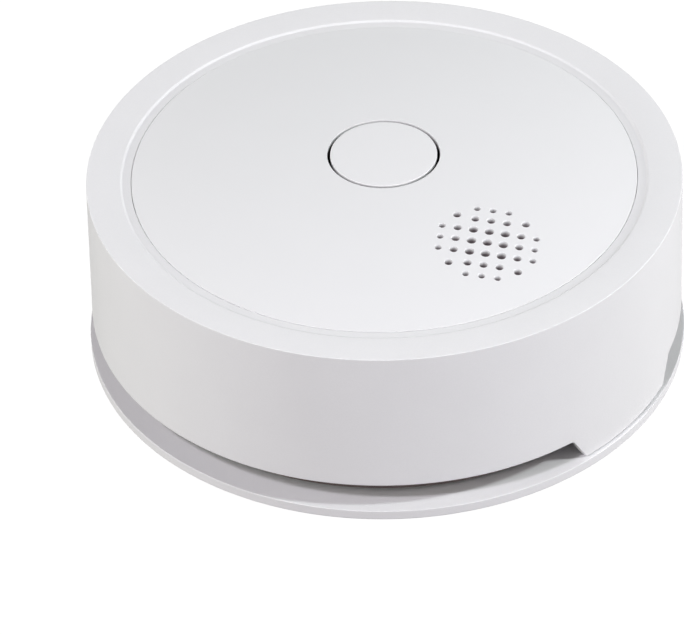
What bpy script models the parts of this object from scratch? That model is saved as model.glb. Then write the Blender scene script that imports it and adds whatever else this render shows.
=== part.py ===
"""Smoke detector: mounting bracket, twist-off alarm head, test button, battery bay.

The part lies on its back: +Z runs from the ceiling side to the face, and the origin is at the
centre of the bracket's back. Sizes are in millimetres and become metres in the helpers.
"""
import math

import bmesh
import bpy
from mathutils import Matrix

MM = 0.001
TURN_STEPS = 60          # facets of the large turned pieces
SMALL_STEPS = 20         # facets of the small turned pieces
GAP = 0.3                # running and assembly clearance

# Mounting bracket
BRACKET_R = 60.0
BRACKET_RIM_Z = 2.1
BRACKET_PLATE_Z = 1.3
BRACKET_OPENING_R = 41.0
KEYHOLE_R = 47.5         # distance of each screw hole from the centre
KEYHOLE_HEAD_R = 4.2
KEYHOLE_SLOT_W = 4.2
KEYHOLE_SLOT_DEG = 9.0

# Bayonet
TWIST_DEG = 16.0
HOOK_ANGLES = (90.0, 210.0, 330.0)
HOOK_HALF_DEG = 7.0
HOOK_STEM = (43.5, 45.0)
HOOK_LIP_R = 48.0
HOOK_TOP_Z = 6.3

# Rear case
CASE_R = 53.0
CASE_RIM_R = 52.2
CASE_BACK_Z = 2.9
CASE_FLOOR_Z = 4.5
CASE_RIM_Z = 5.2

# Front cover
WALL_TOP_R = 59.0
WALL_LOW_R = 59.4
WALL_IN_R = 57.4
RING_Z = 38.9            # highest line of the flat outer ring
POST_Z = 2.4             # lower end of the two posts between the inlets
INLET_TOP_Z = 8.2
INLET_MIDS = (62.0, 242.0)
INLET_HALF_LOW_DEG = 76.9
INLET_HALF_TOP_DEG = 73.6
GROOVE_IN_R = 50.3
GROOVE_OUT_R = 51.9
GROOVE_Z = 38.0
LEDGE_R = 46.5
LEDGE_Z = (34.6, 36.2)
STOP_RING_R = 53.2       # ring inside the wall that keeps the screen in place
STOP_RING_Z = (10.3, 11.6)

# Insect screen
SCREEN_R = (53.4, 54.0)
SCREEN_Z = (2.9, 9.9)
SCREEN_SLOTS = 30
SCREEN_SLOT_W = 7.0
SCREEN_SLOT_Z = (3.9, 8.9)

# Domed face
DOME_TOP_Z = 43.6
DOME_SPHERE_R = 249.6
FACE_R = 50.0
FACE_THICK = 1.8
BUTTON_HOLE_R = 11.15
COLLAR_R = 12.4

# Sounder and its hole pattern
SOUNDER_XY = (23.4, -23.4)
HOLE_PITCH = 3.09
HOLE_LARGE_R = 0.93
HOLE_MEDIUM_R = 0.8
HOLE_SMALL_R = 0.66

# Test button and switch
BUTTON_R = 10.65
BUTTON_FLANGE_R = 12.6
BUTTON_FLANGE_Z = (38.4, 39.4)
BUTTON_CORE_R = 9.2      # hollow between the rim and the stem
STEM_R = 2.6
STEM_LOW_Z = 33.3
SWITCH_TOP_Z = 31.0
PLUNGER_R = 1.9
PLUNGER_LOW_Z = 28.4
BUTTON_SPRING_Z = (31.7, 41.0)
BUTTON_SPRING_R = 4.2

# Case screws
SCREW_ANGLES = (30.0, 150.0, 270.0)
SCREW_R = 49.0           # distance of each case screw from the centre
BOSS_R = 2.8
PILOT_R = 1.35
PILOT_TOP_Z = 14.0

# Circuit board
BOARD_Z = (25.0, 26.6)
BOARD_R = 50.5
ON_BOARD_Z = BOARD_Z[1] + GAP
INDUCTOR_XY = (10.0, 34.0)
CAPACITOR_XY = (-10.0, -33.0)
LED_XY = (-13.8, 26.0)
LED_R = 1.5
LIGHT_GUIDE_Z = (28.9, 39.6)
WIFI_BOARD_LOW = (-36.0, -24.0)
WIFI_BOARD_HIGH = (-20.0, 0.0)
CHIPS = {                # x, y, length, width, height
    "microcontroller": (-27.0, 12.0, 7.0, 7.0, 1.0),
    "power_chip": (8.0, 22.0, 5.0, 4.0, 1.2),
    "amplifier_chip": (26.0, 10.0, 5.0, 4.0, 1.2),
}

# Smoke chamber, hanging under the board
CHAMBER_XY = (17.0, 9.0)
CHAMBER_R = 17.0
CHAMBER_ROOF_Z = (22.2, 24.6)
CHAMBER_MIDDLE_Z = 18.0
CHAMBER_LID_Z = (7.2, 8.6)
VANE_LOW_Z = 8.9
VANE_COUNT = 14
EMITTER_PLACE = 8
RECEIVER_PLACE = 13

# Battery bay, cell and door
CELL_X = -21.5
CELL_Z = 13.1
CELL_R = 8.5
BAY_HALF_X = 10.5
BAY_HALF_Y = 20.8
BAY_WALL = 1.5
BAY_ROOF_Z = 22.0
HINGE_Y = 19.0
HINGE_Z = 4.3
DOOR_Z = (2.95, 4.2)

PARTS = "smoke_detector"
CUTTERS = "smoke_detector_cutters"


# ---------------------------------------------------------------- scene and materials

def clear_scene():
    for old in list(bpy.data.objects):
        bpy.data.objects.remove(old, do_unlink=True)


def collection(name):
    made = bpy.data.collections.new(name)
    bpy.context.scene.collection.children.link(made)
    return made


def material(name, color, roughness, metallic=0.0, alpha=1.0):
    made = bpy.data.materials.new(name)
    made.use_nodes = True
    shader = made.node_tree.nodes["Principled BSDF"]
    shader.inputs["Base Color"].default_value = (*color, 1.0)
    shader.inputs["Roughness"].default_value = roughness
    shader.inputs["Metallic"].default_value = metallic
    shader.inputs["Alpha"].default_value = alpha
    made.diffuse_color = (*color, 1.0)
    return made


def empty_at(name, x=0.0, y=0.0, z=0.0, parent=None):
    made = bpy.data.objects.new(name, None)
    bpy.data.collections[PARTS].objects.link(made)
    made.empty_display_size = 10.0 * MM
    made.location = (x * MM, y * MM, z * MM)
    if parent:
        made.parent = parent
        made.location -= parent.location
    return made


# ---------------------------------------------------------------- shape helpers

def mesh_object(name, bm, group=PARTS):
    mesh = bpy.data.meshes.new(name)
    bm.to_mesh(mesh)
    bm.free()
    made = bpy.data.objects.new(name, mesh)
    bpy.data.collections[group].objects.link(made)
    if group == CUTTERS:
        made.hide_render = True
        made.display_type = "WIRE"
    return made


def turned(name, profile, closed=True, steps=TURN_STEPS, centre=(0.0, 0.0), group=PARTS):
    """Revolve an (r, z) outline about the vertical line through centre."""
    bm = bmesh.new()
    points = [bm.verts.new((r * MM, 0.0, z * MM)) for r, z in profile]
    for first, second in zip(points, points[1:]):
        bm.edges.new((first, second))
    if closed:
        bm.edges.new((points[-1], points[0]))
    made = mesh_object(name, bm, group)
    screw = made.modifiers.new("turn", "SCREW")
    screw.axis = "Z"
    screw.angle = math.tau
    screw.steps = steps
    screw.render_steps = steps
    screw.use_merge_vertices = True
    screw.merge_threshold = 0.00001
    screw.use_normal_calculate = False
    made.location = (centre[0] * MM, centre[1] * MM, 0.0)
    return made


def box(name, low, high, group=PARTS):
    size = [(b - a) * MM for a, b in zip(low, high)]
    middle = [(a + b) / 2 * MM for a, b in zip(low, high)]
    bm = bmesh.new()
    bmesh.ops.create_cube(bm, size=1.0)
    bmesh.ops.scale(bm, vec=size, verts=bm.verts)
    made = mesh_object(name, bm, group)
    made.location = middle
    return made


def add_cylinder(bm, radius, low, high, x=0.0, y=0.0, sides=SMALL_STEPS, top_radius=None):
    top = radius if top_radius is None else top_radius
    place = Matrix.Translation((x * MM, y * MM, (low + high) / 2 * MM))
    bmesh.ops.create_cone(bm, cap_ends=True, segments=sides, radius1=radius * MM,
                          radius2=top * MM, depth=(high - low) * MM, matrix=place)


def cylinder(name, radius, low, high, x=0.0, y=0.0, sides=SMALL_STEPS, group=PARTS):
    bm = bmesh.new()
    add_cylinder(bm, radius, low, high, 0.0, 0.0, sides)
    made = mesh_object(name, bm, group)
    made.location = (x * MM, y * MM, 0.0)
    return made


def cross_cylinder(name, radius, x_low, x_high, y, z, sides=16, group=PARTS):
    """A cylinder lying along X."""
    bm = bmesh.new()
    add_cylinder(bm, radius, x_low, x_high, 0.0, 0.0, sides)
    bmesh.ops.rotate(bm, verts=bm.verts, matrix=Matrix.Rotation(math.radians(90.0), 3, "Y"))
    made = mesh_object(name, bm, group)
    made.location = (0.0, y * MM, z * MM)
    return made


def plate(name, outline, low, high, group=PARTS):
    """A flat outline of (x, y) points, extruded from low to high."""
    curve = bpy.data.curves.new(name + "_outline", "CURVE")
    curve.dimensions = "2D"
    curve.fill_mode = "BOTH"
    curve.extrude = (high - low) / 2 * MM
    spline = curve.splines.new("POLY")
    spline.points.add(len(outline) - 1)
    for point, (x, y) in zip(spline.points, outline):
        point.co = (x * MM, y * MM, 0.0, 1.0)
    spline.use_cyclic_u = True
    drawn = bpy.data.objects.new(name + "_curve", curve)
    bpy.data.collections[CUTTERS].objects.link(drawn)
    bpy.context.view_layer.update()
    solid = bpy.data.meshes.new_from_object(
        drawn.evaluated_get(bpy.context.evaluated_depsgraph_get()))
    bpy.data.objects.remove(drawn, do_unlink=True)
    bm = bmesh.new()
    bm.from_mesh(solid)
    bpy.data.meshes.remove(solid)
    bmesh.ops.remove_doubles(bm, verts=bm.verts, dist=0.000001)
    bmesh.ops.recalc_face_normals(bm, faces=bm.faces)
    made = mesh_object(name, bm, group)
    made.location = (0.0, 0.0, (low + high) / 2 * MM)
    return made


def arc(radius, start_deg, end_deg, count):
    step = (end_deg - start_deg) / count
    angles = [math.radians(start_deg + step * i) for i in range(count + 1)]
    return [(radius * math.cos(a), radius * math.sin(a)) for a in angles]


def sector(name, r_in, r_out, start_deg, end_deg, low, high, group=CUTTERS, count=6):
    outline = arc(r_out, start_deg, end_deg, count) + arc(r_in, end_deg, start_deg, count)
    return plate(name, outline, low, high, group)


def boolean(target, tool, operation):
    change = target.modifiers.new(tool.name, "BOOLEAN")
    change.operation = operation
    change.solver = "EXACT"
    change.object = tool


def cut(target, *tools):
    for tool in tools:
        boolean(target, tool, "DIFFERENCE")


def join(target, *tools):
    for tool in tools:
        boolean(target, tool, "UNION")


def rounded_edges(target, width, segments=2):
    bevel = target.modifiers.new("rounded_edges", "BEVEL")
    bevel.width = width * MM
    bevel.segments = segments
    bevel.limit_method = "ANGLE"
    bevel.angle_limit = math.radians(40.0)


def coil(name, centre, axis, start, end, radii, turns, wire_r):
    """A round-wire spring along axis ("Y" or "Z"), from start to end, radii first to last."""
    per_turn = 10
    count = int(turns * per_turn)
    curve = bpy.data.curves.new(name + "_path", "CURVE")
    curve.dimensions = "3D"
    curve.bevel_depth = wire_r * MM
    curve.bevel_resolution = 2
    curve.use_fill_caps = True
    spline = curve.splines.new("POLY")
    spline.points.add(count)
    for index, point in enumerate(spline.points):
        part = index / count
        angle = math.tau * turns * part
        radius = radii[0] + (radii[1] - radii[0]) * part
        across = (radius * math.cos(angle), radius * math.sin(angle))
        along = start + (end - start) * part
        if axis == "Z":
            spot = (centre[0] + across[0], centre[1] + across[1], along)
        else:
            spot = (centre[0] + across[0], along, centre[1] + across[1])
        point.co = (spot[0] * MM, spot[1] * MM, spot[2] * MM, 1.0)
    made = bpy.data.objects.new(name, curve)
    bpy.data.collections[PARTS].objects.link(made)
    return made


def finish(target, look, parent, smooth=True):
    """Give a part its material, soft shading and parent, and keep it where it stands."""
    target.data.materials.append(look)
    if smooth and target.type == "MESH":
        target.data.shade_smooth()
        target.data.set_sharp_from_angle(angle=math.radians(35.0))
    if parent:
        target.parent = parent
        target.location -= parent.matrix_world.translation
    return target


# ---------------------------------------------------------------- mounting bracket

def mounting_bracket():
    plate_z = BRACKET_PLATE_Z
    rim_z = BRACKET_RIM_Z
    body = turned("mounting_bracket", [
        (BRACKET_OPENING_R, plate_z), (50.0, plate_z), (53.5, rim_z - 0.15), (59.4, rim_z),
        (59.82, rim_z - 0.1), (BRACKET_R, rim_z - 0.4), (BRACKET_R, 0.3),
        (BRACKET_R - 0.3, 0.0), (BRACKET_OPENING_R, 0.0)])
    for index, angle in enumerate(HOOK_ANGLES):
        span = (angle - HOOK_HALF_DEG, angle + HOOK_HALF_DEG)
        stem = sector(f"hook_stem_{index}", *HOOK_STEM, *span, 0.5, HOOK_TOP_Z)
        lip = sector(f"hook_lip_{index}", HOOK_STEM[0] + 0.5, HOOK_LIP_R, span[0] + 0.4,
                     span[1] - 0.4, CASE_FLOOR_Z + GAP, HOOK_TOP_Z - 0.1)
        join(body, stem, lip)
    for index, angle in enumerate((0.0, 180.0)):
        spot = arc(KEYHOLE_R, angle, angle + 1.0, 1)[0]
        head = cylinder(f"keyhole_head_{index}", KEYHOLE_HEAD_R, -1.0, 3.0, *spot, group=CUTTERS)
        slot = sector(f"keyhole_slot_{index}", KEYHOLE_R - KEYHOLE_SLOT_W / 2,
                      KEYHOLE_R + KEYHOLE_SLOT_W / 2, angle, angle + KEYHOLE_SLOT_DEG, -1.2, 3.2)
        cut(body, head, slot)
    return body


# ---------------------------------------------------------------- rear case

def rear_case():
    body = turned("rear_case", [
        (0.0, CASE_FLOOR_Z), (CASE_RIM_R, CASE_FLOOR_Z), (CASE_RIM_R, CASE_RIM_Z),
        (CASE_R, CASE_RIM_Z), (CASE_R, CASE_BACK_Z), (0.0, CASE_BACK_Z)], closed=False)
    bay_low_x = CELL_X - BAY_HALF_X
    bay_high_x = CELL_X + BAY_HALF_X
    outer = box("bay_outer", (bay_low_x - BAY_WALL, -BAY_HALF_Y - BAY_WALL, 3.6),
                (bay_high_x + BAY_WALL, BAY_HALF_Y + BAY_WALL, BAY_ROOF_Z + 1.4), CUTTERS)
    inner = box("bay_inner", (bay_low_x, -BAY_HALF_Y, 1.5),
                (bay_high_x, BAY_HALF_Y, BAY_ROOF_Z), CUTTERS)
    join(body, outer)
    cut(body, inner)
    for side in (-1, 1):
        slot = box(f"bay_tab_slot_{side}", (CELL_X - 2.4, side * 20.2 - 0.5, 21.0),
                   (CELL_X + 2.4, side * 20.2 + 0.5, 24.5), CUTTERS)
        cut(body, slot)
    pin_bore = cross_cylinder("hinge_pin_bore", 0.9, bay_low_x - 3.0, bay_high_x + 3.0,
                              HINGE_Y, HINGE_Z, group=CUTTERS)
    cut(body, pin_bore)
    for index, angle in enumerate(HOOK_ANGLES):
        entry = (angle - TWIST_DEG - HOOK_HALF_DEG - 0.6, angle - TWIST_DEG + HOOK_HALF_DEG + 0.6)
        wide = sector(f"bayonet_entry_{index}", HOOK_STEM[0] - 0.5, HOOK_LIP_R + 0.5, *entry,
                      2.0, 6.0)
        narrow = sector(f"bayonet_track_{index}", HOOK_STEM[0] - 0.4, HOOK_STEM[1] + 0.5,
                        entry[1] - 1.0, angle + HOOK_HALF_DEG + 1.0, 2.1, 6.1)
        cut(body, wide, narrow)
    for index, angle in enumerate(SCREW_ANGLES):
        spot = arc(SCREW_R, angle, angle + 1.0, 1)[0]
        cut(body, cylinder(f"case_screw_hole_{index}", 1.4, 2.0, 6.0, *spot, 16, CUTTERS))
    return body


def case_screw(index, angle):
    spot = arc(SCREW_R, angle, angle + 1.0, 1)[0]
    return turned(f"case_screw_{index}", [
        (0.0, 11.0), (0.6, 10.8), (1.0, 10.0), (1.0, 2.6), (2.6, 2.6), (2.6, 2.2),
        (2.0, 1.7), (0.0, 1.7)], closed=False, steps=16, centre=spot)


# ---------------------------------------------------------------- front cover and face

def dome_z(radius):
    return DOME_TOP_Z - DOME_SPHERE_R + math.sqrt(DOME_SPHERE_R ** 2 - radius ** 2)


def inlet_cutter(index, middle):
    """A curved slot that narrows towards its top."""
    count = 30
    tool = sector(f"inlet_{index}", 55.5, 62.0, middle - INLET_HALF_LOW_DEG,
                  middle + INLET_HALF_LOW_DEG, 1.0, INLET_TOP_Z, CUTTERS, count)
    squeeze = INLET_HALF_TOP_DEG / INLET_HALF_LOW_DEG - 1.0
    centre = math.radians(middle)
    for vertex in tool.data.vertices:
        if vertex.co.z > 0.0:
            x, y = vertex.co.x, vertex.co.y
            offset = (math.atan2(y, x) - centre + math.pi) % math.tau - math.pi
            turn = offset * squeeze
            vertex.co.x = x * math.cos(turn) - y * math.sin(turn)
            vertex.co.y = x * math.sin(turn) + y * math.cos(turn)
    return tool


def front_cover():
    body = turned("front_cover", [
        (GROOVE_OUT_R, 38.65), (55.5, RING_Z), (58.4, RING_Z - 0.05), (58.85, RING_Z - 0.25),
        (WALL_TOP_R, RING_Z - 0.7), (WALL_LOW_R, POST_Z), (WALL_IN_R, POST_Z),
        (WALL_IN_R, STOP_RING_Z[0]), (STOP_RING_R, STOP_RING_Z[0]), (STOP_RING_R, STOP_RING_Z[1]),
        (WALL_IN_R - 0.2, STOP_RING_Z[1]), (57.0, 33.8), (55.6, LEDGE_Z[0]),
        (LEDGE_R, LEDGE_Z[0]), (LEDGE_R, LEDGE_Z[1]), (GROOVE_IN_R, LEDGE_Z[1]),
        (GROOVE_IN_R, GROOVE_Z), (GROOVE_OUT_R, GROOVE_Z)])
    for index, middle in enumerate(INLET_MIDS):
        cut(body, inlet_cutter(index, middle))
    for index, angle in enumerate(SCREW_ANGLES):
        spot = arc(SCREW_R, angle, angle + 1.0, 1)[0]
        boss = cylinder(f"screw_boss_{index}", BOSS_R, CASE_FLOOR_Z + GAP, 35.4, *spot, 16, CUTTERS)
        bore = cylinder(f"screw_bore_{index}", PILOT_R, 3.0, PILOT_TOP_Z, *spot, 12, CUTTERS)
        join(body, boss)
        cut(body, bore)
    return body


def sounder_holes():
    """(x, y, radius) of each hole: a square block with four rounded-off sides."""
    holes = [(i, j, HOLE_LARGE_R) for i in (-1, 0, 1) for j in (-1, 0, 1)]
    for turn in range(4):
        c = (1, 0, -1, 0)[turn]
        s = (0, 1, 0, -1)[turn]
        for step in (-1, 0, 1):
            holes.append((2 * c - step * s, 2 * s + step * c, HOLE_MEDIUM_R))
            holes.append((2.97 * c - step * s, 2.97 * s + step * c, HOLE_SMALL_R))
        holes.append((2.12 * (c - s), 2.12 * (s + c), HOLE_MEDIUM_R))
    x0, y0 = SOUNDER_XY
    return [(x0 + i * HOLE_PITCH, y0 + j * HOLE_PITCH, r) for i, j, r in holes]


def face_disc():
    radii = (BUTTON_HOLE_R, 18.0, 25.0, 31.0, 37.0, 43.0, FACE_R - 0.5)
    top = [(r, dome_z(r)) for r in radii]
    edge = [(FACE_R, dome_z(FACE_R) - 0.4), (FACE_R, dome_z(FACE_R) - FACE_THICK)]
    under = [(r, dome_z(r) - FACE_THICK) for r in reversed(radii[1:-1])]
    collar = [(COLLAR_R, dome_z(COLLAR_R) - FACE_THICK), (COLLAR_R, BUTTON_FLANGE_Z[1] + GAP),
              (BUTTON_HOLE_R, BUTTON_FLANGE_Z[1] + GAP)]
    body = turned("face_disc", top + edge + under + collar)
    bm = bmesh.new()
    for x, y, radius in sounder_holes():
        add_cylinder(bm, radius, 34.0, 46.0, x, y, sides=8)
    cut(body, mesh_object("sounder_hole_pins", bm, CUTTERS))
    return body


# ---------------------------------------------------------------- button and switch

def test_button():
    low, high = BUTTON_FLANGE_Z
    return turned("test_button", [
        (0.0, DOME_TOP_Z), (5.5, dome_z(5.5)), (BUTTON_R - 0.35, dome_z(BUTTON_R)),
        (BUTTON_R, dome_z(BUTTON_R) - 0.35), (BUTTON_R, high), (BUTTON_FLANGE_R, high),
        (BUTTON_FLANGE_R, low), (BUTTON_CORE_R, low), (BUTTON_CORE_R, 41.6), (STEM_R, 41.8),
        (STEM_R, STEM_LOW_Z), (0.0, STEM_LOW_Z)],
        closed=False, steps=36)


def tact_switch():
    body = box("tact_switch", (-6.0, -6.0, ON_BOARD_Z), (6.0, 6.0, SWITCH_TOP_Z))
    rounded_edges(body, 0.4)
    cut(body, cylinder("plunger_well", 2.2, 27.4, 33.0, group=CUTTERS))
    return body


# ---------------------------------------------------------------- board and its pieces

def main_board():
    body = cylinder("main_board", BOARD_R, *BOARD_Z, sides=48)
    for index, angle in enumerate(SCREW_ANGLES):
        spot = arc(SCREW_R, angle, angle + 1.0, 1)[0]
        cut(body, cylinder(f"board_notch_{index}", 3.3, 24.0, 28.0, *spot, 16, CUTTERS))
    return body


def sounder_housing():
    return turned("sounder_housing", [
        (12.1, 36.9), (13.0, 36.7), (13.0, ON_BOARD_Z), (2.0, ON_BOARD_Z), (2.0, 28.4),
        (10.6, 28.4), (10.6, 30.7), (12.1, 30.7)], steps=36, centre=SOUNDER_XY)


def insect_screen():
    inner, outer = SCREEN_R
    low, high = SCREEN_Z
    body = turned("insect_screen", [(outer, high), (outer, low), (inner, low), (inner, high)])
    slot_low, slot_high = SCREEN_SLOT_Z
    slot = Matrix.Diagonal((3.0, SCREEN_SLOT_W, slot_high - slot_low, 1.0))
    bm = bmesh.new()
    for index in range(SCREEN_SLOTS):
        turn = Matrix.Rotation(math.tau * (index + 0.5) / SCREEN_SLOTS, 4, "Z")
        spot = ((inner + outer) / 2 * MM, 0.0, (slot_low + slot_high) / 2 * MM)
        place = turn @ Matrix.Translation(spot)
        bmesh.ops.create_cube(bm, size=MM, matrix=place @ slot)
    cut(body, mesh_object("screen_slots", bm, CUTTERS))
    return body


def optical_chamber():
    x0, y0 = CHAMBER_XY
    body = cylinder("optical_chamber", CHAMBER_R, *CHAMBER_ROOF_Z, x0, y0, sides=36)
    chevron = [(10.8, -2.4), (13.3, 0.0), (16.2, -2.2), (16.2, -1.1), (13.3, 1.1), (10.8, -1.3)]
    for index in range(VANE_COUNT):
        if index in (EMITTER_PLACE, RECEIVER_PLACE):
            continue
        angle = math.tau * index / VANE_COUNT
        c, s = math.cos(angle), math.sin(angle)
        outline = [(x0 + u * c - v * s, y0 + u * s + v * c) for u, v in chevron]
        join(body, plate(f"vane_{index}", outline, VANE_LOW_Z, 23.0, CUTTERS))
    return body


def chamber_lid():
    low, high = CHAMBER_LID_Z
    lip = CHAMBER_R - 0.6
    return turned("chamber_lid", [
        (0.0, high), (lip, high), (lip, high + 1.2), (CHAMBER_R, high + 1.2), (CHAMBER_R, low),
        (0.0, low)], closed=False, steps=36, centre=CHAMBER_XY)


def ir_emitter():
    """A bullet LED that points at the chamber's middle."""
    bm = bmesh.new()
    add_cylinder(bm, 1.5, 11.6, 15.0, sides=16)
    bmesh.ops.rotate(bm, verts=bm.verts, matrix=Matrix.Rotation(math.radians(90.0), 3, "Y"))
    angle = math.tau * EMITTER_PLACE / VANE_COUNT
    bmesh.ops.rotate(bm, verts=bm.verts, matrix=Matrix.Rotation(angle, 3, "Z"))
    body = mesh_object("ir_emitter", bm)
    body.location = (CHAMBER_XY[0] * MM, CHAMBER_XY[1] * MM, CHAMBER_MIDDLE_Z * MM)
    return body


def photodiode():
    body = box("photodiode", (11.8, -2.0, -2.2), (14.0, 2.0, 2.2))
    rounded_edges(body, 0.3)
    angle = math.tau * RECEIVER_PLACE / VANE_COUNT
    spot = body.location.copy()
    turn = Matrix.Rotation(angle, 3, "Z")
    body.rotation_euler = (0.0, 0.0, angle)
    body.location = turn @ spot
    body.location.x += CHAMBER_XY[0] * MM
    body.location.y += CHAMBER_XY[1] * MM
    body.location.z += CHAMBER_MIDDLE_Z * MM
    return body


# ---------------------------------------------------------------- battery bay pieces

def battery_cell():
    bm = bmesh.new()
    add_cylinder(bm, CELL_R, -17.1, 16.2, sides=28)
    bmesh.ops.rotate(bm, verts=bm.verts, matrix=Matrix.Rotation(math.radians(90.0), 3, "X"))
    body = mesh_object("battery_cell", bm)
    body.location = (CELL_X * MM, 0.0, CELL_Z * MM)
    bm = bmesh.new()
    add_cylinder(bm, 3.2, -18.3, -16.0, sides=20)
    bmesh.ops.rotate(bm, verts=bm.verts, matrix=Matrix.Rotation(math.radians(90.0), 3, "X"))
    nub = mesh_object("cell_nub", bm, CUTTERS)
    nub.location = body.location
    join(body, nub)
    return body


def battery_contact(name, side, with_dimple):
    low_y, high_y = sorted((side * 20.0, side * 20.4))
    body = box(name, (CELL_X - 5.0, low_y, 7.5), (CELL_X + 5.0, high_y, 19.0))
    tab = box(name + "_tab", (CELL_X - 2.0, low_y, 18.0), (CELL_X + 2.0, high_y, 24.7), CUTTERS)
    join(body, tab)
    if with_dimple:
        bm = bmesh.new()
        add_cylinder(bm, 1.6, 0.0, 1.6, sides=16, top_radius=2.8)
        bmesh.ops.rotate(bm, verts=bm.verts, matrix=Matrix.Rotation(math.radians(-90.0), 3, "X"))
        dimple = mesh_object(name + "_dimple", bm, CUTTERS)
        dimple.location = (CELL_X * MM, 18.6 * MM, CELL_Z * MM)
        join(body, dimple)
    return body


def battery_door():
    low_x = CELL_X - BAY_HALF_X + GAP
    high_x = CELL_X + BAY_HALF_X - GAP
    body = box("battery_door", (low_x, -BAY_HALF_Y + 0.6, DOOR_Z[0]), (high_x, HINGE_Y, DOOR_Z[1]))
    knuckle = cross_cylinder("door_knuckle", 1.34, low_x + 0.02, high_x - 0.02, HINGE_Y, HINGE_Z,
                             group=CUTTERS)
    join(body, knuckle)
    for index in range(3):
        y = -17.5 + 2.0 * index
        join(body, box(f"grip_ridge_{index}", (CELL_X - 4.0, y, 2.4), (CELL_X + 4.0, y + 0.8, 3.2),
                       CUTTERS))
    cut(body, cross_cylinder("door_bore", 0.9, low_x - 2.0, high_x + 2.0, HINGE_Y, HINGE_Z,
                             group=CUTTERS))
    return body


# ---------------------------------------------------------------- assembly

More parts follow.
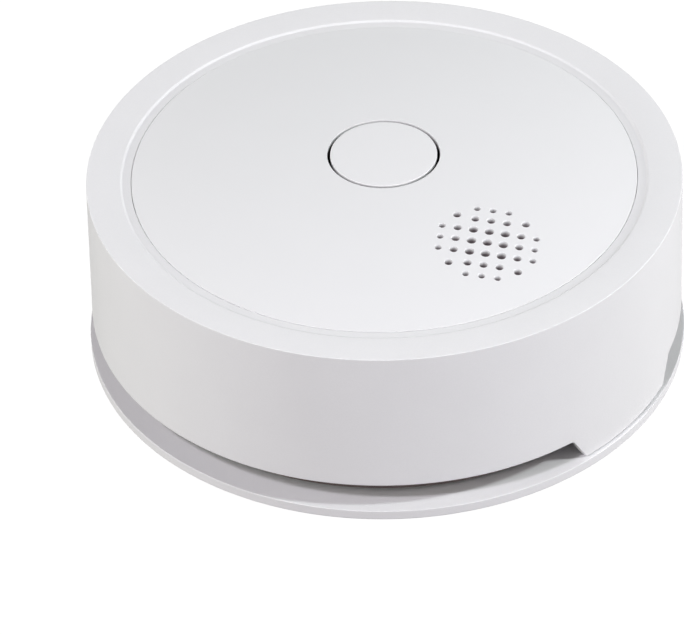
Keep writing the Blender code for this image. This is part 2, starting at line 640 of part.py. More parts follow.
def build():
    clear_scene()
    collection(PARTS)
    collection(CUTTERS)

    shell = material("shell_white", (0.80, 0.81, 0.83), 0.45)
    face = material("face_white", (0.82, 0.83, 0.85), 0.38)
    button = material("button_white", (0.82, 0.83, 0.85), 0.35)
    bracket = material("bracket_white", (0.78, 0.78, 0.80), 0.5)
    inner = material("inner_white", (0.70, 0.70, 0.70), 0.55)
    screen = material("screen_dark", (0.05, 0.04, 0.035), 0.6)
    board = material("board_green", (0.03, 0.19, 0.08), 0.4)
    black = material("chamber_black", (0.02, 0.02, 0.02), 0.7)
    chip = material("chip_black", (0.03, 0.03, 0.035), 0.45)
    steel = material("steel", (0.62, 0.62, 0.64), 0.3, 1.0)
    brass = material("brass", (0.78, 0.60, 0.28), 0.3, 1.0)
    ceramic = material("piezo_ceramic", (0.85, 0.84, 0.78), 0.5)
    clear = material("clear_plastic", (0.85, 0.88, 0.90), 0.1, 0.0, 0.35)
    sleeve = material("cell_sleeve", (0.10, 0.16, 0.35), 0.35)

    alarm = empty_at("alarm_turn")
    press = empty_at("button_slide", 0.0, 0.0, STEM_LOW_Z, alarm)
    plunge = empty_at("plunger_slide", 0.0, 0.0, SWITCH_TOP_Z, alarm)
    swing = empty_at("door_hinge", CELL_X, HINGE_Y, HINGE_Z, alarm)
    bpy.context.view_layer.update()

    finish(mounting_bracket(), bracket, None)

    finish(rear_case(), inner, alarm)
    finish(front_cover(), shell, alarm)
    finish(face_disc(), face, alarm)
    finish(insect_screen(), screen, alarm)
    for index, angle in enumerate(SCREW_ANGLES, start=1):
        finish(case_screw(index, angle), steel, alarm)

    finish(main_board(), board, alarm)
    finish(optical_chamber(), black, alarm)
    finish(chamber_lid(), black, alarm)
    finish(ir_emitter(), clear, alarm)
    finish(photodiode(), chip, alarm, smooth=False)

    finish(sounder_housing(), black, alarm)
    finish(cylinder("piezo_plate", 11.7, 31.0, 31.25, *SOUNDER_XY, 36), brass, alarm)
    finish(cylinder("piezo_ceramic", 8.4, 31.55, 31.8, *SOUNDER_XY, 30), ceramic, alarm)

    finish(tact_switch(), chip, alarm, smooth=False)
    finish(cylinder("switch_plunger", PLUNGER_R, PLUNGER_LOW_Z, STEM_LOW_Z - GAP, sides=20), inner,
           plunge)
    finish(test_button(), button, press)
    finish(coil("button_spring", (0.0, 0.0), "Z", *BUTTON_SPRING_Z,
                (BUTTON_SPRING_R, BUTTON_SPRING_R), 4, 0.3), steel, press)

    (low_x, low_y), (high_x, high_y) = WIFI_BOARD_LOW, WIFI_BOARD_HIGH
    finish(box("wifi_board", (low_x, low_y, ON_BOARD_Z), (high_x, high_y, 27.7)), board, alarm,
           False)
    shield = box("wifi_shield", (low_x + 1.5, low_y + 1.5, 28.0), (high_x - 1.5, high_y - 7.5, 30.4))
    rounded_edges(shield, 0.3)
    finish(shield, steel, alarm, False)
    for name, (x, y, long, wide, tall) in CHIPS.items():
        body = box(name, (x - long / 2, y - wide / 2, ON_BOARD_Z),
                   (x + long / 2, y + wide / 2, ON_BOARD_Z + tall))
        finish(body, chip, alarm, False)
    finish(turned("inductor", [
        (0.0, 33.0), (4.6, 33.0), (5.0, 32.5), (5.0, 31.5), (4.2, 31.2), (4.2, 28.7), (5.0, 28.4),
        (5.0, ON_BOARD_Z), (0.0, ON_BOARD_Z)], closed=False, steps=SMALL_STEPS,
        centre=INDUCTOR_XY), chip, alarm)
    finish(turned("capacitor", [
        (0.0, 37.0), (3.5, 37.0), (4.0, 36.5), (4.0, 28.6), (3.7, 28.3), (4.0, 28.0),
        (4.0, ON_BOARD_Z), (0.0, ON_BOARD_Z)], closed=False, steps=SMALL_STEPS,
        centre=CAPACITOR_XY), steel, alarm)
    finish(cylinder("status_led", LED_R, ON_BOARD_Z, 28.6, *LED_XY, 16), ceramic, alarm)
    finish(cylinder("light_guide", LED_R, *LIGHT_GUIDE_Z, *LED_XY, 16), clear, alarm)

    finish(battery_cell(), sleeve, alarm)
    finish(battery_contact("battery_contact_positive", 1, True), steel, alarm, False)
    finish(battery_contact("battery_contact_negative", -1, False), steel, alarm, False)
    finish(coil("battery_spring", (CELL_X, CELL_Z), "Y", -19.35, -16.85, (5.5, 3.2), 3, 0.35),
           steel, alarm)
    pin_reach = BAY_HALF_X + BAY_WALL - GAP
    finish(cross_cylinder("door_hinge_pin", 0.6, CELL_X - pin_reach, CELL_X + pin_reach, HINGE_Y,
                          HINGE_Z), steel, alarm)
    finish(battery_door(), inner, swing, False)


build()
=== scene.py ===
import math

import bmesh
import bpy
import numpy as np
from mathutils import Matrix, Vector


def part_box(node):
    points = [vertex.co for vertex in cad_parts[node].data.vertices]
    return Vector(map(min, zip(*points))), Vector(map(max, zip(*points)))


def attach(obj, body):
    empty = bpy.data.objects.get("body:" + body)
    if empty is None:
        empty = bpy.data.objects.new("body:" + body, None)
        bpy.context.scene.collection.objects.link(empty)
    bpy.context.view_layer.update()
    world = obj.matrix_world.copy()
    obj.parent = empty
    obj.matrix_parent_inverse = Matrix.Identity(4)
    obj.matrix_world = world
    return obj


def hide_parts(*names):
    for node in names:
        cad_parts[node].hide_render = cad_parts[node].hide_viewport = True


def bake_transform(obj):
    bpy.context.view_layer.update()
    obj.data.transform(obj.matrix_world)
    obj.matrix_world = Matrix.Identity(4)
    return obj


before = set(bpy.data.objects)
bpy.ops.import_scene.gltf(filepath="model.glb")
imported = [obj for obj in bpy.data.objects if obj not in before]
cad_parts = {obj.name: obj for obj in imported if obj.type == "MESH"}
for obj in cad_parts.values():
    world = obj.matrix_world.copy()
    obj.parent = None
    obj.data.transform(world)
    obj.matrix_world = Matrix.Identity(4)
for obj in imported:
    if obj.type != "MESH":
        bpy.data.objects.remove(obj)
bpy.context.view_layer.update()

# Looks of a smoke detector that lies on its back, with +Z out of its face. Lengths in the
# outlines are millimetres, and the mesh helpers turn them into metres.
MM = 0.001
ROUND_STEPS = 256        # facets round the large turned pieces
CORNER_STEPS = 4         # facets round a softened corner

COVER_LOW, COVER_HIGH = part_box("front_cover")
BUTTON_LOW, BUTTON_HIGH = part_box("test_button")
BRACKET_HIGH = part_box("mounting_bracket")[1]
RIM_Z = COVER_HIGH.z / MM            # top of the flat ring round the face
WALL_LOW_R = COVER_HIGH.x / MM       # the wall narrows a little towards the top
POST_Z = COVER_LOW.z / MM            # foot of the two posts between the inlets
BRACKET_R = BRACKET_HIGH.x / MM
HOOK_TOP_Z = BRACKET_HIGH.z / MM
DOME_TOP_Z = BUTTON_HIGH.z / MM
FACE_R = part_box("face_disc")[1].x / MM

WALL_TOP_R = WALL_LOW_R - 0.4
WALL_IN_R = WALL_LOW_R - 2.0
RING_HIGH_R = 55.5
RING_IN_R = 52.2
GROOVE_OUT_R = 51.8
GROOVE_IN_R = 50.1
GROOVE_Z = 38.42
LEDGE_R = 46.5
LEDGE_Z = (34.6, 36.2)
STOP_RING_R = 53.2
STOP_RING_Z = (10.3, 11.6)
INLET_TOP_Z = 7.95
INLET_MIDS = (62.0, 242.0)
INLET_HALF_LOW_DEG = 76.9
INLET_HALF_TOP_DEG = 73.6
DOME_SPHERE_R = 249.6
FACE_THICK = 1.8
BUTTON_HOLE_R = 11.15
BUTTON_R = 10.55
SOUNDER_XY = (23.4, -23.4)
HOLE_PITCH = 3.09
HOLE_LARGE_R = 0.93
HOLE_MEDIUM_R = 0.8
HOLE_SMALL_R = 0.66
EDGE_HOLE_ROW = 2.97      # the outermost rows, in pitches from the middle
CORNER_HOLE_ROW = 2.17
HOLE_SOFTNESS = 0.07
SCREW_ANGLES = (30.0, 150.0, 270.0)
SCREW_R = 49.0
PLATE_Z = 1.3
BRACKET_RIM_Z = HOOK_TOP_Z - 4.2
HOOK_ANGLES = (90.0, 210.0, 330.0)
KEYHOLE_ANGLES = (0.0, 180.0)
SCREEN_BARS = 240
SCREEN_HOOPS = 6


# ---------------------------------------------------------------- camera

def make_camera():
    """A long lens about a metre away, aimed a little below and left of the face."""
    azimuth = math.radians(8.578)
    elevation = math.radians(36.98)
    roll = math.radians(-1.61)
    distance = 0.9771
    aim_right, aim_up = -0.00912, -0.02932
    target = Vector((0.0, 0.0, COVER_HIGH.z))
    back = Vector((math.sin(azimuth) * math.cos(elevation),
                   -math.cos(azimuth) * math.cos(elevation), math.sin(elevation)))
    right = Vector((math.cos(azimuth), math.sin(azimuth), 0.0))
    forward = (aim_right * right + aim_up * right.cross(-back) - back).normalized()
    right = forward.cross(Vector((0.0, 0.0, 1.0))).normalized()
    up = right.cross(forward)
    turned_right = math.cos(roll) * right + math.sin(roll) * up
    turned_up = math.cos(roll) * up - math.sin(roll) * right
    data = bpy.data.cameras.new("camera")
    data.lens = 260.0
    data.sensor_width = 36.0
    data.clip_start, data.clip_end = 0.05, 20.0
    camera = bpy.data.objects.new("camera", data)
    bpy.context.scene.collection.objects.link(camera)
    axes = Matrix((turned_right, turned_up, -forward)).transposed().to_4x4()
    camera.matrix_world = Matrix.Translation(target + back * distance) @ axes
    bpy.context.scene.camera = camera


# ---------------------------------------------------------------- mesh helpers

def softened(outline, closed=True, steps=CORNER_STEPS):
    """Replace each (x, y, reach) corner by a curve that starts and ends reach away from it."""
    points = []
    last = len(outline) - 1
    for index, (x, y, reach) in enumerate(outline):
        if not reach or (not closed and index in (0, last)):
            points.append((x, y))
            continue
        corner = Vector((x, y))
        before = Vector(outline[index - 1][:2]) - corner
        after = Vector(outline[(index + 1) % len(outline)][:2]) - corner
        start = corner + before.normalized() * reach
        end = corner + after.normalized() * reach
        for step in range(steps + 1):
            t = step / steps
            points.append(tuple(start * (1 - t) ** 2 + corner * 2 * t * (1 - t) + end * t ** 2))
    return points


def link(name, bm):
    bmesh.ops.recalc_face_normals(bm, faces=bm.faces)
    mesh = bpy.data.meshes.new(name)
    bm.to_mesh(mesh)
    bm.free()
    made = bpy.data.objects.new(name, mesh)
    bpy.context.scene.collection.objects.link(made)
    return made


def loft(name, rings, closed_round=True, closed_profile=True):
    """Quads between neighbouring rings of (x, y, z) points in millimetres."""
    bm = bmesh.new()
    grid = [[bm.verts.new([value * MM for value in point]) for point in ring] for ring in rings]
    count = len(grid)
    size = len(grid[0])
    for i in range(count if closed_round else count - 1):
        one, two = grid[i], grid[(i + 1) % count]
        for j in range(size if closed_profile else size - 1):
            k = (j + 1) % size
            bm.faces.new((one[j], one[k], two[k], two[j]))
    if not closed_round:
        bm.faces.new(grid[0])
        bm.faces.new(reversed(grid[-1]))
    return link(name, bm)


def ring_at(profile, angle, centre=(0.0, 0.0)):
    c, s = math.cos(angle), math.sin(angle)
    return [(centre[0] + r * c, centre[1] + r * s, z) for r, z in profile]


def turned(name, profile, steps=ROUND_STEPS, centre=(0.0, 0.0), closed=True):
    """Revolve an (r, z) outline; where it is open it starts and ends on the axis."""
    rings = [ring_at(profile, math.tau * i / steps, centre) for i in range(steps)]
    made = loft(name, rings, True, closed)
    bm = bmesh.new()
    bm.from_mesh(made.data)
    bmesh.ops.remove_doubles(bm, verts=bm.verts, dist=0.0000005)
    bmesh.ops.recalc_face_normals(bm, faces=bm.faces)
    bm.to_mesh(made.data)
    bm.free()
    return made


def cut(target, tool):
    """Cut the tool out of the target at once, and drop the tool."""
    change = target.modifiers.new("change", "BOOLEAN")
    change.operation = "DIFFERENCE"
    change.solver = "EXACT"
    change.object = tool
    bpy.context.view_layer.update()
    result = bpy.data.meshes.new_from_object(
        target.evaluated_get(bpy.context.evaluated_depsgraph_get()))
    target.modifiers.remove(change)
    old = target.data
    target.data = result
    bpy.data.meshes.remove(old)
    bpy.data.objects.remove(tool, do_unlink=True)


def smooth(piece, sharp_deg=32.0, weighted=True):
    piece.data.shade_smooth()
    piece.data.set_sharp_from_angle(angle=math.radians(sharp_deg))
    if weighted:
        normals = piece.modifiers.new("flat_faces_stay_flat", "WEIGHTED_NORMAL")
        normals.keep_sharp = True
    return piece


def dome_z(radius):
    """Height of the domed face, which is part of one large sphere."""
    return DOME_TOP_Z - DOME_SPHERE_R + math.sqrt(DOME_SPHERE_R ** 2 - radius ** 2)


# ---------------------------------------------------------------- front cover

def lower_edge():
    """(angle, z) along the cover's lower edge, all the way round: two inlets and two posts."""
    reach = math.radians(INLET_HALF_LOW_DEG) * WALL_LOW_R
    top_reach = math.radians(INLET_HALF_TOP_DEG) * WALL_LOW_R
    points = []
    for middle in INLET_MIDS:
        path = softened([(-reach - 4.0, POST_Z, 0.0), (-reach, POST_Z, 0.5),
                         (-top_reach, INLET_TOP_Z, 0.9), (top_reach, INLET_TOP_Z, 0.9),
                         (reach, POST_Z, 0.5), (reach + 4.0, POST_Z, 0.0)], False, 8)
        for (s0, z0), (s1, z1) in zip(path, path[1:]):
            pieces = max(1, math.ceil(math.hypot(s1 - s0, z1 - z0) / 1.2))
            for k in range(pieces):
                part = k / pieces
                angle = math.radians(middle) + (s0 + (s1 - s0) * part) / WALL_LOW_R
                points.append((angle, z0 + (z1 - z0) * part))
        points.append((math.radians(middle) + path[-1][0] / WALL_LOW_R, POST_Z))
        gap = math.pi - 2 * (reach + 4.0) / WALL_LOW_R
        for k in range(1, 10):
            points.append((points[-1][0] + gap / 10, POST_Z))
    return points


def cover_profile(low_z):
    """Half section of the cover: ring, outer wall, foot, stop ring, ledge and groove."""
    stop_low, stop_high = STOP_RING_Z
    ledge_low, ledge_high = LEDGE_Z
    return softened([
        (RING_IN_R, RIM_Z - 0.15, 0.2), (RING_HIGH_R, RIM_Z, 0.0),
        (WALL_TOP_R, RIM_Z - 0.05, 0.15), (WALL_TOP_R + 0.1, 30.0, 0.0),
        (WALL_TOP_R + 0.2, 22.0, 0.0), (WALL_TOP_R + 0.3, 14.0, 0.0),
        (WALL_LOW_R - 0.02, 10.4, 0.0), (WALL_LOW_R, low_z, 0.25), (WALL_IN_R, low_z, 0.3),
        (WALL_IN_R, stop_low, 0.0), (STOP_RING_R, stop_low, 0.2),
        (STOP_RING_R, stop_high, 0.2), (WALL_IN_R - 0.2, stop_high, 0.0),
        (57.0, 33.8, 0.0), (55.6, ledge_low, 0.0), (LEDGE_R, ledge_low, 0.0),
        (LEDGE_R, ledge_high, 0.0), (GROOVE_IN_R, ledge_high, 0.0),
        (GROOVE_IN_R, GROOVE_Z + 0.02, 0.05), (GROOVE_OUT_R, GROOVE_Z, 0.2)])


def front_cover():
    """The cover with its ring and inlets, and a boss for each case screw."""
    rings = [ring_at(cover_profile(low_z), angle) for angle, low_z in lower_edge()]
    cover = smooth(loft("front_cover_shell", rings))
    cover.data.materials.append(shell_plastic)
    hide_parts("front_cover")
    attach(cover, "alarm")
    for number, angle_deg in enumerate(SCREW_ANGLES, start=1):
        angle = math.radians(angle_deg)
        spot = (SCREW_R * math.cos(angle), SCREW_R * math.sin(angle))
        boss = smooth(turned(f"screw_boss_{number}", softened([
            (2.8, 35.0, 0.0), (2.8, 4.8, 0.3), (1.35, 4.8, 0.2), (1.35, 14.0, 0.0),
            (0.0, 14.0, 0.0), (0.0, 35.0, 0.0)]), 32, spot))
        boss.data.materials.append(shell_plastic)
        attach(boss, "alarm")


# ---------------------------------------------------------------- domed face

def sounder_holes():
    """(x, y, radius) of the 37 holes: a square of nine, then rows on its four sides."""
    holes = [(i, j, HOLE_LARGE_R) for i in (-1, 0, 1) for j in (-1, 0, 1)]
    for turn in range(4):
        c = (1, 0, -1, 0)[turn]
        s = (0, 1, 0, -1)[turn]
        for step in (-1, 0, 1):
            holes.append((2 * c - step * s, 2 * s + step * c, HOLE_MEDIUM_R))
            holes.append((EDGE_HOLE_ROW * c - step * s, EDGE_HOLE_ROW * s + step * c,
                          HOLE_SMALL_R))
        holes.append((CORNER_HOLE_ROW * (c - s), CORNER_HOLE_ROW * (s + c), HOLE_MEDIUM_R))
    x0, y0 = SOUNDER_XY
    return [(x0 + i * HOLE_PITCH, y0 + j * HOLE_PITCH, r) for i, j, r in holes]


def hole_tool():
    """One mesh of pins that widen a little where they meet the dome."""
    sides = 32
    soft = HOLE_SOFTNESS
    bm = bmesh.new()
    for x0, y0, radius in sounder_holes():
        middle_r = math.hypot(x0, y0)
        height = dome_z(middle_r)
        fall = middle_r / math.sqrt(DOME_SPHERE_R ** 2 - middle_r ** 2)
        slope = Vector((x0, y0)).normalized() * -fall
        profile = [(radius, 30.0), (radius, height - soft),
                   (radius + 0.4 * soft, height - 0.3 * soft), (radius + soft, height),
                   (radius + soft + 0.3, height + 0.1)]
        rings = []
        for r, z in profile:
            ring = []
            for k in range(sides):
                angle = math.tau * k / sides
                dx, dy = r * math.cos(angle), r * math.sin(angle)
                lift = dx * slope.x + dy * slope.y
                ring.append(bm.verts.new(((x0 + dx) * MM, (y0 + dy) * MM, (z + lift) * MM)))
            rings.append(ring)
        for one, two in zip(rings, rings[1:]):
            for k in range(sides):
                bm.faces.new((one[k], one[(k + 1) % sides], two[(k + 1) % sides], two[k]))
        bm.faces.new(list(reversed(rings[0])))
        bm.faces.new(rings[-1])
    return link("hole_tool", bm)


def set_dome_normals(piece):
    """Shade the top of the cut dome as the sphere it is part of."""
    mesh = piece.data
    centre = Vector((0.0, 0.0, (DOME_TOP_Z - DOME_SPHERE_R) * MM))
    normals = [Vector(corner.vector) for corner in mesh.corner_normals]
    for face in mesh.polygons:
        outward = (face.center - centre).normalized()
        if face.normal.dot(outward) < 0.9995 or face.center.z < 37.5 * MM:
            continue
        for loop_index in face.loop_indices:
            place = mesh.vertices[mesh.loops[loop_index].vertex_index].co
            normals[loop_index] = (place - centre).normalized()
    mesh.normals_split_custom_set(normals)


def face_disc():
    """The domed disc: its skin, a collar round the button and the sounder holes."""
    inner_edge = BUTTON_HOLE_R
    edge_z = dome_z(FACE_R)
    collar_z = 39.7
    top = [(inner_edge, dome_z(inner_edge), 0.12)]
    top += [(r, dome_z(r), 0.0) for r in np.linspace(12.5, FACE_R - 1.2, 30)]
    top += [(FACE_R, edge_z, 0.12), (FACE_R, edge_z - FACE_THICK, 0.3)]
    under = [(r, dome_z(r) - FACE_THICK, 0.0) for r in (42.0, 34.0, 26.0, 18.0, 12.4)]
    collar = [(12.4, collar_z, 0.15), (inner_edge, collar_z, 0.15)]
    disc = turned("face_dome", softened(top + under + collar))
    cut(disc, hole_tool())
    smooth(disc, weighted=False)
    set_dome_normals(disc)
    disc.data.materials.append(face_plastic)
    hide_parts("face_disc")
    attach(disc, "alarm")


def test_button():
    """The round cap, with a flange that keeps it in and a stem that presses the switch."""
    flange_low, flange_high = 38.4, 39.4
    stem_low = BUTTON_LOW.z / MM
    outline = [(0.0, DOME_TOP_Z, 0.0)]
    outline += [(r, dome_z(r), 0.0) for r in (2.0, 4.0, 6.0, 8.0, 9.5)]
    outline += [(BUTTON_R, dome_z(BUTTON_R), 0.15), (BUTTON_R, flange_high, 0.1),
                (12.6, flange_high, 0.2), (12.6, flange_low, 0.2), (9.2, flange_low, 0.2),
                (9.2, 41.6, 0.5), (2.6, 41.8, 0.5), (2.6, stem_low, 0.3), (0.0, stem_low, 0.0)]
    button = smooth(turned("button_cap", softened(outline, False), closed=False))
    button.data.materials.append(button_plastic)
    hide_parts("test_button")
    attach(button, "button")


def button_spring():
    """A coil of wire that stands between the switch board and the button, fixed in place."""
    low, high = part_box("button_spring")
    wire_r, turns, per_turn, sides = 0.3, 4, 40, 10
    coil_r = high.x / MM - wire_r
    start_z, end_z = low.z / MM + wire_r, high.z / MM - wire_r
    count = turns * per_turn
    rings = []
    for k in range(count + 1):
        z = start_z + (end_z - start_z) * k / count
        wire = [(coil_r + wire_r * math.cos(math.tau * j / sides),
                 z + wire_r * math.sin(math.tau * j / sides)) for j in range(sides)]
        rings.append(ring_at(wire, math.tau * k / per_turn))
    spring = smooth(loft("button_coil", rings, closed_round=False), weighted=False)
    spring.data.materials.append(
        metal("spring_steel", (0.62, 0.62, 0.64), 0.3, (4000.0, 4000.0, 300.0)))
    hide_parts("button_spring")
    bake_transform(spring)


# ---------------------------------------------------------------- bracket and screen

def keyhole_tool(number, angle_deg):
    """A round hole with a narrower slot that runs round the ring."""
    hole_r, slot_half, slot_deg, middle_r = 4.2, 2.1, 9.0, 47.5
    a0 = math.radians(angle_deg)
    spot = (middle_r * math.cos(a0), middle_r * math.sin(a0))
    head = turned(f"keyhole_{number}", [(0.0, -1.0), (hole_r, -1.0), (hole_r, 3.0), (0.0, 3.0)],
                  48, spot, closed=False)
    profile = [(middle_r - slot_half, -1.2), (middle_r + slot_half, -1.2),
               (middle_r + slot_half, 3.2), (middle_r - slot_half, 3.2)]
    rings = [ring_at(profile, a0 + math.radians(slot_deg) * k / 12) for k in range(13)]
    slot = loft(f"keyslot_{number}", rings, closed_round=False)
    return head, slot


def mounting_bracket():
    """The ring plate with its keyholes, and three bayonet hooks that stand on it."""
    ring = turned("bracket_ring", softened([
        (41.0, PLATE_Z, 0.3), (50.0, PLATE_Z, 0.8), (53.5, BRACKET_RIM_Z - 0.15, 0.8),
        (BRACKET_R, BRACKET_RIM_Z, 0.12), (BRACKET_R, 0.0, 0.25), (41.0, 0.0, 0.3)]), 240)
    for number, angle_deg in enumerate(KEYHOLE_ANGLES):
        for tool in keyhole_tool(number, angle_deg):
            cut(ring, tool)
    smooth(ring)
    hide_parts("mounting_bracket")
    pieces = [ring]
    hook_profile = softened([(43.5, 0.9, 0.0), (45.0, 0.9, 0.0), (45.0, 4.8, 0.3),
                             (48.0, 4.8, 0.4), (48.0, 6.0, 0.4), (45.2, HOOK_TOP_Z, 0.4),
                             (43.5, HOOK_TOP_Z, 0.4)])
    for number, angle_deg in enumerate(HOOK_ANGLES, start=1):
        rings = [ring_at(hook_profile, math.radians(angle_deg - 7.0 + k)) for k in range(15)]
        pieces.append(smooth(loft(f"bracket_hook_{number}", rings, closed_round=False)))
    for piece in pieces:
        piece.data.materials.append(bracket_plastic)
        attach(piece, "bracket")


def insect_screen():
    """A fine moulded lattice: upright bars between two hoops, in a dark plastic that also paints the
    deep shade inside the inlet gap.
    """
    low, high = (corner.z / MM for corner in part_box("insect_screen"))
    outer_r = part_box("insect_screen")[1].x / MM
    last_hoop = SCREEN_HOOPS - 1
    bm = bmesh.new()
    for k in range(SCREEN_BARS):
        turn = Matrix.Rotation(math.tau * k / SCREEN_BARS, 4, "Z")
        place = turn @ Matrix.Translation(((outer_r - 0.3) * MM, 0.0, (low + high) / 2 * MM))
        size = Matrix.Diagonal((0.4, 0.42, high - low, 1.0))
        bmesh.ops.create_cube(bm, size=MM, matrix=place @ size)
    screen = link("screen_bars", bm)
    hoops = []
    for k in range(SCREEN_HOOPS):
        z = low + 0.35 + (high - low - 0.7) * k / last_hoop
        half = 0.35 if k in (0, last_hoop) else 0.2
        hoops.append(turned(f"screen_hoop_{k + 1}", [
            (outer_r, z - half), (outer_r, z + half), (outer_r - 0.6, z + half),
            (outer_r - 0.6, z - half)], 180))
    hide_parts("insect_screen")
    for piece in [screen] + hoops:
        piece.data.materials.append(screen_painted_shade)
        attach(piece, "alarm")


# ---------------------------------------------------------------- materials

def new_material(name, roughness, metallic=0.0):
    made = bpy.data.materials.new(name)
    made.use_nodes = True
    nodes = made.node_tree.nodes
    shader = nodes["Principled BSDF"]
    shader.inputs["Roughness"].default_value = roughness
    shader.inputs["Metallic"].default_value = metallic
    coords = nodes.new("ShaderNodeTexCoord")
    return made, shader, coords


def noise(tree, coords, scale, detail=2.0, roughness=0.5):
    node = tree.nodes.new("ShaderNodeTexNoise")
    node.inputs["Scale"].default_value = scale
    node.inputs["Detail"].default_value = detail
    node.inputs["Roughness"].default_value = roughness
    tree.links.new(coords.outputs["Object"], node.inputs["Vector"])
    return node


def ramp(tree, source, stops):
    node = tree.nodes.new("ShaderNodeValToRGB")
    elements = node.color_ramp.elements
    while len(elements) < len(stops):
        elements.new(0.5)
    for element, (place, color) in zip(elements, stops):
        element.position = place
        element.color = (*color, 1.0)
    tree.links.new(source, node.inputs["Fac"])
    return node


def tinted(color, factor):
    return tuple(min(1.0, value * factor) for value in color)


def moulded_plastic(name, color, roughness, grain_mm, grain_depth_mm, spread):
    """White plastic with a spark-eroded grain, faint mottling and uneven gloss."""
    made, shader, coords = new_material(name, roughness)
    shader.inputs["Specular IOR Level"].default_value = 0.3
    tree = made.node_tree
    grain = noise(tree, coords, 1.0 / (grain_mm * MM), 3.0, 0.65)
    mottle = noise(tree, coords, 90.0, 2.0)
    mix = tree.nodes.new("ShaderNodeMix")
    mix.data_type = "FLOAT"
    mix.inputs[0].default_value = 0.35
    tree.links.new(grain.outputs["Fac"], mix.inputs[2])
    tree.links.new(mottle.outputs["Fac"], mix.inputs[3])
    shades = ramp(tree, mix.outputs[0], [(0.3, tinted(color, 1.0 - spread)),
                                         (0.7, tinted(color, 1.0 + spread))])
    tree.links.new(shades.outputs["Color"], shader.inputs["Base Color"])
    gloss = tree.nodes.new("ShaderNodeMapRange")
    gloss.inputs["From Min"].default_value = 0.3
    gloss.inputs["From Max"].default_value = 0.7
    gloss.inputs["To Min"].default_value = roughness - 0.06
    gloss.inputs["To Max"].default_value = roughness + 0.06
    tree.links.new(grain.outputs["Fac"], gloss.inputs["Value"])
    tree.links.new(gloss.outputs["Result"], shader.inputs["Roughness"])
    bump = tree.nodes.new("ShaderNodeBump")
    bump.inputs["Strength"].default_value = 1.0
    bump.inputs["Distance"].default_value = grain_depth_mm * MM
    tree.links.new(grain.outputs["Fac"], bump.inputs["Height"])
    tree.links.new(bump.outputs["Normal"], shader.inputs["Normal"])
    return made


def paint_shade_below_skin(made, painted_shade_color):
    """Painted shade: the walls of the holes and of the button gap get darker below the domed skin,
    where little light reaches.
    """
    tree = made.node_tree
    shader = tree.nodes["Principled BSDF"]
    shades = shader.inputs["Base Color"].links[0].from_socket
    coords = tree.nodes.new("ShaderNodeTexCoord")
    reach = tree.nodes.new("ShaderNodeVectorMath")
    reach.operation = "DISTANCE"
    reach.inputs[1].default_value = (0.0, 0.0, (DOME_TOP_Z - DOME_SPHERE_R) * MM)
    tree.links.new(coords.outputs["Object"], reach.inputs[0])
    # painted shade fades in from 0.25 mm to 1.1 mm below the domed skin
    skin = tree.nodes.new("ShaderNodeMapRange")
    skin.inputs["From Min"].default_value = (DOME_SPHERE_R - 1.1) * MM
    skin.inputs["From Max"].default_value = (DOME_SPHERE_R - 0.25) * MM
    tree.links.new(reach.outputs["Value"], skin.inputs["Value"])
    mix = tree.nodes.new("ShaderNodeMix")
    mix.data_type = "RGBA"
    mix.inputs["A"].default_value = (*painted_shade_color, 1.0)
    tree.links.new(skin.outputs["Result"], mix.inputs["Factor"])
    tree.links.new(shades, mix.inputs["B"])
    tree.links.new(mix.outputs["Result"], shader.inputs["Base Color"])


def metal(name, color, roughness, streak_scale):
    """Metal with fine streaks along one direction and a little tarnish."""
    made, shader, coords = new_material(name, roughness, 1.0)
    tree = made.node_tree
    stretch = tree.nodes.new("ShaderNodeMapping")
    stretch.inputs["Scale"].default_value = streak_scale
    tree.links.new(coords.outputs["Object"], stretch.inputs["Vector"])
    streaks = tree.nodes.new("ShaderNodeTexNoise")
    streaks.inputs["Scale"].default_value = 1.0
    streaks.inputs["Detail"].default_value = 4.0
    tree.links.new(stretch.outputs["Vector"], streaks.inputs["Vector"])
    shades = ramp(tree, streaks.outputs["Fac"], [(0.3, tinted(color, 0.82)), (0.7, color)])
    tree.links.new(shades.outputs["Color"], shader.inputs["Base Color"])
    gloss = tree.nodes.new("ShaderNodeMapRange")
    gloss.inputs["To Min"].default_value = roughness - 0.08
    gloss.inputs["To Max"].default_value = roughness + 0.12
    tree.links.new(streaks.outputs["Fac"], gloss.inputs["Value"])
    tree.links.new(gloss.outputs["Result"], shader.inputs["Roughness"])
    bump = tree.nodes.new("ShaderNodeBump")
    bump.inputs["Distance"].default_value = 0.01 * MM
    tree.links.new(streaks.outputs["Fac"], bump.inputs["Height"])
    tree.links.new(bump.outputs["Normal"], shader.inputs["Normal"])
    return made


def circuit_board(name):
    """Green solder mask over paler copper tracks."""
    made, shader, coords = new_material(name, 0.35)
    tree = made.node_tree
    tracks = tree.nodes.new("ShaderNodeTexBrick")
    tracks.inputs["Scale"].default_value = 260.0
    tracks.inputs["Mortar Size"].default_value = 0.06
    tracks.inputs["Color1"].default_value = (0.015, 0.12, 0.05, 1.0)
    tracks.inputs["Color2"].default_value = (0.02, 0.15, 0.06, 1.0)
    tracks.inputs["Mortar"].default_value = (0.05, 0.26, 0.11, 1.0)
    tree.links.new(coords.outputs["Object"], tracks.inputs["Vector"])
    tree.links.new(tracks.outputs["Color"], shader.inputs["Base Color"])
    bump = tree.nodes.new("ShaderNodeBump")
    bump.inputs["Distance"].default_value = 0.03 * MM
    tree.links.new(tracks.outputs["Fac"], bump.inputs["Height"])
    tree.links.new(bump.outputs["Normal"], shader.inputs["Normal"])
    return made


def clear_plastic(name):
    """Slightly cloudy clear plastic of the emitter and the light guide."""
    made, shader, coords = new_material(name, 0.08)
    tree = made.node_tree
    cloud = noise(tree, coords, 400.0)
    shades = ramp(tree, cloud.outputs["Fac"], [(0.2, (0.80, 0.84, 0.86)), (0.8, (0.93, 0.95, 0.96))])
    tree.links.new(shades.outputs["Color"], shader.inputs["Base Color"])
    shader.inputs["Transmission Weight"].default_value = 0.85
    shader.inputs["IOR"].default_value = 1.49
    return made


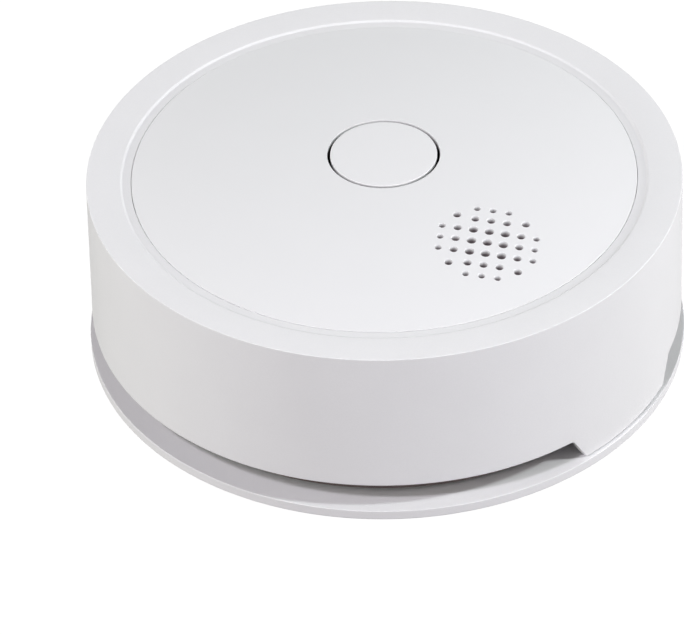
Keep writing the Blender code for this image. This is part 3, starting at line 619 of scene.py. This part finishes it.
def cell_sleeve(name, middle_y):
    """A printed shrink sleeve: a dark body with a metallic band near the positive end."""
    made, shader, coords = new_material(name, 0.3)
    tree = made.node_tree
    split = tree.nodes.new("ShaderNodeSeparateXYZ")
    tree.links.new(coords.outputs["Object"], split.inputs["Vector"])
    reach = tree.nodes.new("ShaderNodeMapRange")
    reach.inputs["From Min"].default_value = middle_y - 17.0 * MM
    reach.inputs["From Max"].default_value = middle_y + 17.0 * MM
    tree.links.new(split.outputs["Y"], reach.inputs["Value"])
    bands = ramp(tree, reach.outputs["Result"], [(0.0, (0.04, 0.07, 0.20)), (0.72, (0.05, 0.09, 0.25)),
                                                 (0.74, (0.70, 0.70, 0.72))])
    tree.links.new(bands.outputs["Color"], shader.inputs["Base Color"])
    wrinkle = noise(tree, coords, 500.0, 3.0)
    bump = tree.nodes.new("ShaderNodeBump")
    bump.inputs["Distance"].default_value = 0.03 * MM
    tree.links.new(wrinkle.outputs["Fac"], bump.inputs["Height"])
    tree.links.new(bump.outputs["Normal"], shader.inputs["Normal"])
    return made


def dress_inner_nodes():
    """Give each CAD node that stays a finished material."""
    looks = {
        "inner_white": ["rear_case", "battery_door", "switch_plunger"],
        "steel": ["case_screw_1", "case_screw_2", "case_screw_3", "wifi_shield", "capacitor",
                  "battery_contact_positive", "battery_contact_negative",
                  "battery_spring", "door_hinge_pin"],
        "board": ["main_board", "wifi_board"],
        "black": ["optical_chamber", "chamber_lid", "sounder_housing"],
        "chip": ["photodiode", "tact_switch", "microcontroller", "power_chip", "amplifier_chip",
                 "inductor"],
        "clear": ["ir_emitter", "light_guide"],
        "brass": ["piezo_plate"],
        "ceramic": ["piezo_ceramic", "status_led"],
        "sleeve": ["battery_cell"],
    }
    cell_low, cell_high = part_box("battery_cell")
    made = {
        "inner_white": moulded_plastic("inner_plastic", (0.74, 0.74, 0.74), 0.5, 0.35, 0.012, 0.02),
        "steel": metal("plated_steel", (0.62, 0.62, 0.64), 0.3, (300.0, 4000.0, 4000.0)),
        "board": circuit_board("circuit_board"),
        "black": moulded_plastic("black_plastic", (0.022, 0.022, 0.022), 0.7, 0.3, 0.02, 0.15),
        "chip": moulded_plastic("chip_resin", (0.03, 0.03, 0.035), 0.45, 0.15, 0.005, 0.15),
        "clear": clear_plastic("clear_plastic"),
        "brass": metal("rolled_brass", (0.78, 0.60, 0.28), 0.3, (400.0, 5000.0, 400.0)),
        "ceramic": moulded_plastic("fired_ceramic", (0.80, 0.79, 0.73), 0.5, 0.12, 0.004, 0.04),
        "sleeve": cell_sleeve("cell_sleeve", (cell_low.y + cell_high.y) / 2),
    }
    for look, names in looks.items():
        for name in names:
            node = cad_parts[name]
            for slot in node.material_slots:
                slot.material = made[look]


# ---------------------------------------------------------------- floor and light

FLOOR_GLOW = 1.0
BACKDROP_GLOW = 1.0
LIGHTS = {               # azimuth, elevation, width, height, power, colour
    "key_right": (349.6, 46.0, 0.08, 0.08, 4.56, (0.95, 1.0, 1.0)),
    "key_front": (244.0, 51.0, 0.10, 0.10, 4.38, (0.97, 0.93, 1.0)),
    "soft_back": (62.0, 52.0, 0.7, 0.7, 0.55, (1.0, 1.0, 1.0)),
    "fill_right": (0.0, 20.0, 0.7, 0.7, 1.40, (1.0, 0.90, 0.83)),
    "fill_back": (90.0, 20.0, 0.7, 0.7, 0.88, (0.95, 1.0, 0.96)),
    "fill_front_left": (225.0, 20.0, 0.7, 0.7, 3.87, (1.0, 0.96, 0.90)),
    "low_right": (0.0, 9.0, 0.9, 0.26, 1.30, (1.0, 0.90, 0.87)),
    "low_back_right": (25.0, 9.0, 0.9, 0.26, 4.40, (0.99, 1.0, 1.0)),
    "low_back": (90.0, 9.0, 0.9, 0.26, 0.70, (0.99, 0.98, 1.0)),
    "low_back_left": (135.0, 9.0, 0.9, 0.26, 0.70, (1.0, 0.96, 0.93)),
    "low_left": (180.0, 9.0, 0.9, 0.26, 4.80, (0.98, 1.0, 0.96)),
    "low_front_right": (315.0, 9.0, 0.9, 0.26, 3.65, (0.95, 0.93, 1.0)),
}


def lit_paper(name, glow):
    """Backlit paper: it shows an even pale tone and takes no shadow."""
    made, shader, coords = new_material(name, 0.9)
    tree = made.node_tree
    tone = noise(tree, coords, 3.0)
    shades = ramp(tree, tone.outputs["Fac"], [(0.0, (0.04, 0.04, 0.04)), (1.0, (0.05, 0.05, 0.05))])
    tree.links.new(shades.outputs["Color"], shader.inputs["Base Color"])
    shader.inputs["Specular IOR Level"].default_value = 0.0
    shader.inputs["Emission Color"].default_value = (1.0, 1.0, 1.0, 1.0)
    shader.inputs["Emission Strength"].default_value = glow
    return made


def make_stage():
    """A wide pale floor, and a low pale wall far round it that hides the horizon.

    Their glow lights the paper alone, so the softboxes shade the object.
    """
    bm = bmesh.new()
    bmesh.ops.create_grid(bm, x_segments=1, y_segments=1, size=4.0)
    floor = link("floor", bm)
    floor.location.z = -0.0002
    floor.data.materials.append(lit_paper("floor_paper", FLOOR_GLOW))
    wall_r, wall_height, steps = 3900.0, 360.0, 96
    section = [(wall_r, 0.0), (wall_r, wall_height)]
    rings = [ring_at(section, math.tau * k / steps) for k in range(steps)]
    backdrop = loft("backdrop", rings, closed_profile=False)
    backdrop.data.materials.append(lit_paper("backdrop_paper", BACKDROP_GLOW))
    own_light = bpy.data.collections.new("paper_own_light")
    for piece in (floor, backdrop):
        own_light.objects.link(piece)
    for piece in (floor, backdrop):
        piece.light_linking.receiver_collection = own_light


def softbox(name, azimuth_deg, elevation_deg, width, height, power, color):
    """A light that faces the object. Its size and power are those for a distance of one metre."""
    distance = 1.5
    a, e = math.radians(azimuth_deg), math.radians(elevation_deg)
    toward = Vector((math.cos(a) * math.cos(e), math.sin(a) * math.cos(e), math.sin(e)))
    data = bpy.data.lights.new(name, "AREA")
    data.shape = "RECTANGLE"
    data.size = width * distance
    data.size_y = height * distance
    data.energy = power * distance ** 2
    data.color = color
    lamp = bpy.data.objects.new(name, data)
    bpy.context.scene.collection.objects.link(lamp)
    lamp.location = toward * distance + Vector((0.0, 0.0, 0.02))
    lamp.rotation_mode = "QUATERNION"
    lamp.rotation_quaternion = toward.to_track_quat("Z", "Y")


def make_lights():
    """A black world, so that only the softboxes light the object."""
    world = bpy.data.worlds.new("studio")
    world.use_nodes = True
    world.node_tree.nodes["Background"].inputs["Strength"].default_value = 0.0
    bpy.context.scene.world = world
    for name, setting in LIGHTS.items():
        softbox(name, *setting)
    bpy.context.scene.view_settings.view_transform = "Standard"


make_camera()
shell_plastic = moulded_plastic("shell_plastic", (0.76, 0.763, 0.772), 0.62, 0.32, 0.02, 0.02)
face_plastic = moulded_plastic("face_plastic", (0.75, 0.756, 0.764), 0.55, 0.25, 0.006, 0.008)
button_plastic = moulded_plastic("button_plastic", (0.765, 0.77, 0.778), 0.55, 0.25, 0.006, 0.008)
# painted shade in the recesses: a dim brown deep in the sounder holes, near black deep in the button
# gap
paint_shade_below_skin(face_plastic, (0.22, 0.19, 0.195))
paint_shade_below_skin(button_plastic, (0.01, 0.01, 0.011))
bracket_plastic = moulded_plastic("bracket_plastic", (0.76, 0.76, 0.77), 0.6, 0.35, 0.01, 0.015)
# the screen's dark brown is partly its own colour and partly painted shade for the deep gap under the
# cover's lower edge
screen_painted_shade = moulded_plastic("screen_plastic_painted_shade", (0.10, 0.08, 0.075), 0.6, 0.2, 0.01, 0.1)
front_cover()
face_disc()
test_button()
button_spring()
mounting_bracket()
insect_screen()
dress_inner_nodes()
make_stage()
make_lights()
